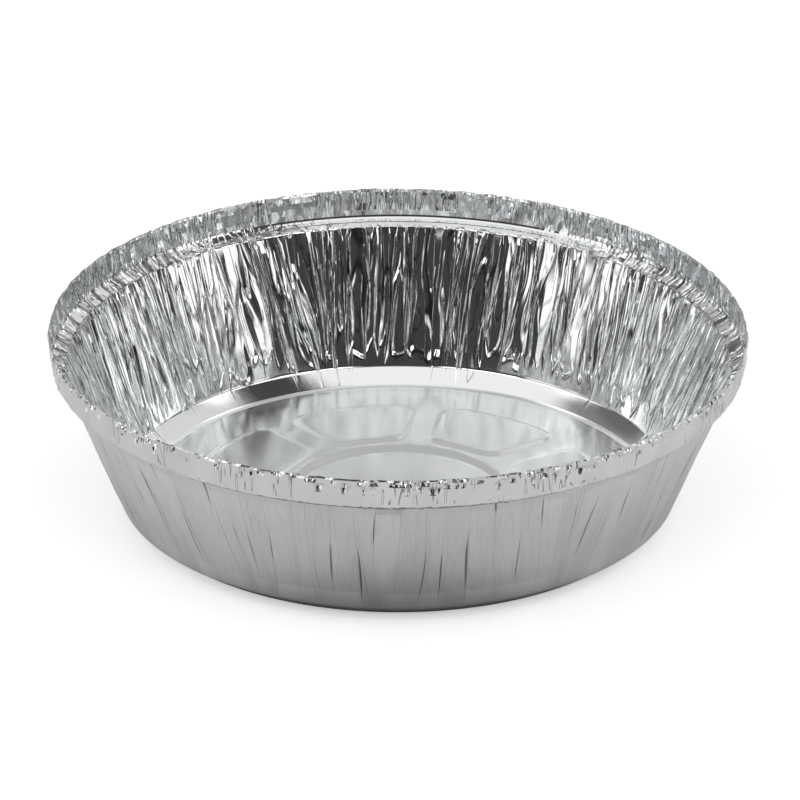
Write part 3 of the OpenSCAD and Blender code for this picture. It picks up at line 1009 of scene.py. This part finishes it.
def small_creases(tree, masks):
    """Height and painted-shade lines of all creases, and the broad islands of the outer wall."""
    unrolled = node(tree, "ShaderNodeUVMap", uv_map="unrolled").outputs[0]
    group = crease_group()
    height = crease_shade = 0.0
    for i, (part, across, along, edge, depth, shade_strength) in enumerate(CREASES):
        creases = node(tree, "ShaderNodeGroup", node_tree=group, Unrolled=unrolled,
                       Across=across, Along=along, Edge=edge, Seed=SEED_STEP * i)
        islands, line_shade = creases.outputs[:2]
        raised = islands
        if part == "outer wall":
            raised, line_shade = (calc(tree, "MULTIPLY", v, masks[part]) for v in (islands, line_shade))
        else:
            attach(tree, creases.inputs["Where"], masks[part])
        height = calc(tree, "ADD", height, calc(tree, "MULTIPLY", raised, depth))
        crease_shade = calc(tree, "MAXIMUM", crease_shade, calc(tree, "MULTIPLY", line_shade, shade_strength))
    return height, crease_shade, islands


def foil_material():
    """Foil that is bright inside and satin outside, with painted shade in its creases and slits.
    """
    material, tree, surface = new_material("rolled_foil")
    surface["Metallic"].default_value = 1.0
    coords = node(tree, "ShaderNodeTexCoord").outputs["Object"]
    masks = part_masks(tree, coords)
    height, crease_shade, rubbed = small_creases(tree, masks)

    grain = node(tree, "ShaderNodeTexNoise", Vector=coords, Scale=GRAIN_SCALE, Detail=2.0)
    depth = calc(tree, "ADD", calc(tree, "MULTIPLY", masks["chamfer"], GRAIN_FOOT), GRAIN_FLOOR)
    height = calc(tree, "ADD", height, calc(tree, "MULTIPLY", grain.outputs[0], depth))
    bump = node(tree, "ShaderNodeBump", Strength=1.0, Distance=MM, Height=height)
    attach(tree, surface["Normal"], bump.outputs[0])

    outer = blend(tree, rubbed, OUTER_TONE, RUBBED_TONE)
    sides = blend(tree, masks["outside"], INNER_TONE, outer)
    # Painted shade: the creases' lines darken the colour towards a near black tone
    crease_shaded = blend(tree, crease_shade, sides, CREASE_SHADE_TONE)
    # Painted shade: the bottoms of the slits are darkened to a near black tone
    attach(tree, surface["Base Color"], blend(tree, masks["slit"], crease_shaded, SLIT_SHADE_TONE))

    gloss = INNER_GLOSS
    for part, rough in (("floor", FLOOR_GLOSS), ("outside below", OUTER_GLOSS)):
        more = calc(tree, "MULTIPLY", masks[part], rough - INNER_GLOSS)
        gloss = calc(tree, "ADD", more, gloss)
    attach(tree, surface["Roughness"], gloss)
    return material


# --- the studio ---

def soft_box(tree, direction, aim, across, half_width, half_height, edge):
    """A mask of the room's directions: 1 inside a soft-edged rectangle, 0 outside."""
    aim = np.array(aim) / np.linalg.norm(aim)
    across = across - aim * (aim @ across)
    across /= np.linalg.norm(across)
    ahead = on_vectors(tree, "DOT_PRODUCT", direction, aim)
    divisor = calc(tree, "MAXIMUM", ahead, 0.001)
    mask = calc(tree, "GREATER_THAN", ahead, 0.01)
    for vector, half in ((across, half_width), (np.cross(across, aim), half_height)):
        off = on_vectors(tree, "DOT_PRODUCT", direction, vector)
        slope = calc(tree, "ABSOLUTE", calc(tree, "DIVIDE", off, divisor))
        left = calc(tree, "SUBTRACT", half, slope)
        mask = calc(tree, "MULTIPLY", mask, calc(tree, "DIVIDE", left, edge, clamp=True))
    return mask


# Each soft box of the room: where it hangs, which way its width runs, half its width
# and height and its soft edge as slopes, and its brightness. A dark one is a flag. Each
# hangs in front of those before it, and the rest of the room has the brightness ROOM.
ROOM = 0.15
BOXES = (
    ("back", (0, 1, 0.45), (1, 0, 0), 1.0, 0.35, 0.15, 0.42),
    ("back above", (0, 1, 1.2), (1, 0, 0), 0.75, 0.45, 0.15, 0.5),
    ("back right", (0.56, 0.6, 0.55), (1, -0.9, 0), 0.4, 0.45, 0.15, 0.75),
    ("right, low", (1, -0.25, 0.2), (0, 1, 0), 0.45, 0.24, 0.08, 1.25),
    ("left, low", (-1, -0.25, 0.2), (0, 1, 0), 0.45, 0.24, 0.08, 1.25),
    ("right, high", (0.72, -0.12, 0.74), (0, 1, 0), 0.4, 0.2, 0.04, 1.6),
    ("left, high", (-0.72, -0.12, 0.74), (0, 1, 0), 0.4, 0.2, 0.04, 1.6),
    ("top", (0, -0.15, 1), (1, 0, 0), 0.85, 0.6, 0.15, 0.98),
    ("camera side", (0, -1, 0.22), (1, 0, 0), 1.35, 0.5, 0.15, 0.05),
    ("ahead at the right", (0.55, -0.75, 0.6), (1, 0.7, 0), 0.28, 0.14, 0.04, 2.8),
    ("ahead at the left", (-0.55, -0.75, 0.6), (1, -0.7, 0), 0.28, 0.14, 0.04, 2.8),
    ("patch at the right", (0.42, 0.42, 0.80), (1, 0, 0), 0.09, 0.12, 0.04, 1.8),
    ("patch at the left", (-0.38, 0.42, 0.82), (1, 0, 0), 0.08, 0.12, 0.04, 1.8),
    ("flag by the top", (0.43, 0.08, 0.9), (1, 1, -0.58), 0.18, 0.27, 0.02, 0.06),
    ("flag on the left", (-0.56, 0.36, 0.75), (1, -0.3, 0), 0.09, 0.2, 0.04, 0.25),
)


def set_studio():
    """The world's own light is a room of soft boxes."""
    scene = bpy.context.scene
    scene.view_settings.view_transform = "Standard"
    world = bpy.data.worlds.new("room")
    scene.world = world
    world.use_nodes = True
    tree = world.node_tree
    direction = node(tree, "ShaderNodeTexCoord").outputs["Generated"]
    level = ROOM
    for _, *shape, bright in BOXES:
        mask = soft_box(tree, direction, *shape)
        level = node(tree, "ShaderNodeMix", mask, data_type="FLOAT", A=level, B=bright).outputs[0]
    background = tree.nodes["Background"].inputs
    attach(tree, background["Strength"], level)
    background["Color"].default_value = (1, 1, 1, 1)


FLOOR_SIZE, FLOOR_DROP, FLOOR_GLOW = 8, 0.00005, 0.45
# In the tin's reflections the floor has a painted shadow near the tin, is pale further off,
# and has a faint painted glow beyond that: distances from the axis in metres. The painted shadow
# is narrower sideways.
SHADE_START, SHADE_END, SHADE, SHADE_SIDEWAYS, PALE = 0.074, 0.094, 0.32, 1.3, 0.86
LIT_START, LIT_END, LIT = 0.095, 0.125, 0.08


def add_floor():
    """A pale floor. It glows a little for the camera. In the tin's reflections it has a painted
    shadow near the tin and a faint painted glow further off.
    """
    bpy.ops.mesh.primitive_plane_add(size=FLOOR_SIZE, location=(0, 0, -FLOOR_DROP))
    floor = bpy.context.object
    floor.name = "studio_floor"
    material, tree, surface = new_material("pale_floor")
    for name, value in (("Base Color", (0.95, 0.95, 0.95, 1)), ("Roughness", 0.9),
                        ("Specular IOR Level", 0.1), ("Emission Color", (1, 1, 1, 1)),
                        ("Emission Strength", FLOOR_GLOW)):
        surface[name].default_value = value
    place = node(tree, "ShaderNodeTexCoord").outputs["Object"]
    oval = on_vectors(tree, "MULTIPLY", place, (SHADE_SIDEWAYS, 1, 1))
    away = on_vectors(tree, "LENGTH", oval)
    # A painted shadow round the tin, and further off a painted glow: both are seen only in
    # reflections
    floor_with_painted_shadow = ramp(tree, away, SHADE_START, SHADE_END, SHADE, PALE)
    painted_glow = ramp(tree, away, LIT_START, LIT_END, 0.0, LIT)
    diffuse = node(tree, "ShaderNodeBsdfDiffuse", Color=floor_with_painted_shadow).outputs[0]
    glow = node(tree, "ShaderNodeEmission", Strength=painted_glow).outputs[0]
    reflected = node(tree, "ShaderNodeAddShader", diffuse, glow).outputs[0]
    direct = tree.nodes["Principled BSDF"].outputs[0]
    seen = node(tree, "ShaderNodeLightPath").outputs["Is Camera Ray"]
    either = node(tree, "ShaderNodeMixShader", seen, reflected, direct).outputs[0]
    attach(tree, tree.nodes["Material Output"].inputs["Surface"], either)
    floor.data.materials.append(material)


# The camera that was fitted to the photo: its lens and sensor in mm, its place in metres
# and how many degrees it looks down
LENS, SENSOR, CAMERA_AT, LOOKS_DOWN = 332.0, 36.0, (0.00057, -1.7616, 0.8591), 25.25


def set_camera():
    camera = bpy.data.cameras.new("camera")
    camera.lens = LENS
    camera.sensor_width = SENSOR
    camera.clip_end = 20
    eye = bpy.data.objects.new("camera", camera)
    bpy.context.scene.collection.objects.link(eye)
    eye.location = CAMERA_AT
    eye.rotation_euler = (math.radians(90 - LOOKS_DOWN), 0, 0)
    bpy.context.scene.camera = eye


set_camera()
set_studio()
add_floor()
tin = build_tin()
tin.data.materials.append(foil_material())
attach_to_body(tin, "root")
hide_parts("tin")
